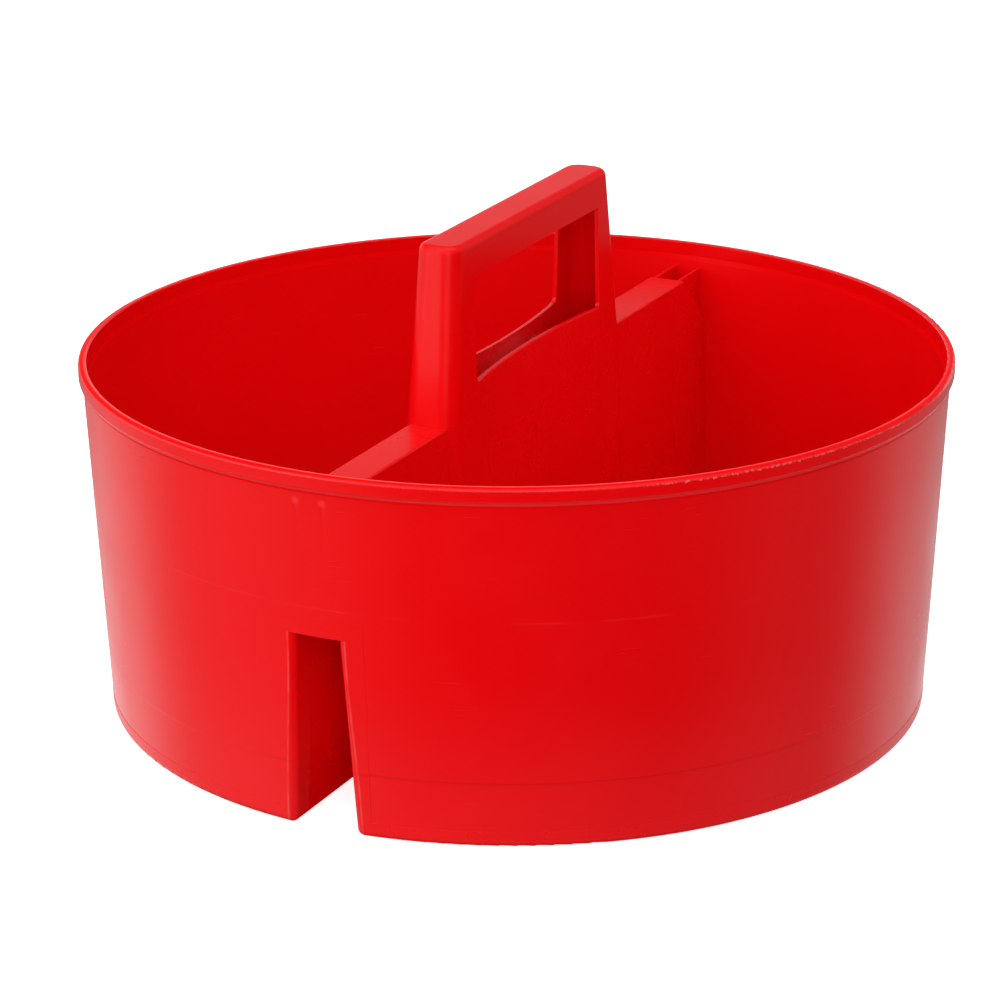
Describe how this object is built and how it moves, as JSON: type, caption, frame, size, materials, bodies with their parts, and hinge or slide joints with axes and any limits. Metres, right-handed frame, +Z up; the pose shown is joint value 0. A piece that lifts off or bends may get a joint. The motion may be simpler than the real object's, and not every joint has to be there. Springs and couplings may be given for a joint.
{
  "type": "cleaning caddy",
  "caption": "Round open cleaning caddy with a hollow divider, a carrying handle rising from it, and a notched channel underneath.",
  "frame": {"origin": "centre of the underside, on the tub's axis", "axes": "+Z up out of the open top, Y along the divider and handle with the front notch at -Y, X across the two compartments"},
  "size_m": [0.36, 0.36, 0.2095],
  "materials": {
    "red_plastic": "satin-gloss injection-moulded polypropylene"
  },
  "bodies": {
    "root": {"base_edge_left": "red_plastic", "base_edge_right": "red_plastic", "divider_end_front_left": "red_plastic", "divider_end_front_right": "red_plastic", "divider_end_rear_left": "red_plastic", "divider_end_rear_right": "red_plastic", "divider_panel_left": "red_plastic", "divider_panel_right": "red_plastic", "divider_ramp_front": "red_plastic", "divider_ramp_rear": "red_plastic", "divider_top_front": "red_plastic", "divider_top_rear": "red_plastic", "fin_front_left": "red_plastic", "fin_front_right": "red_plastic", "fin_rear_left": "red_plastic", "fin_rear_right": "red_plastic", "floor_left": "red_plastic", "floor_right": "red_plastic", "handle_bar": "red_plastic", "handle_post_front": "red_plastic", "handle_post_rear": "red_plastic", "notch_frame_front": "red_plastic", "notch_frame_rear": "red_plastic", "rim_lip": "red_plastic", "sill_left": "red_plastic", "sill_right": "red_plastic", "tub_wall": "red_plastic"}
  },
  "joints": []
}
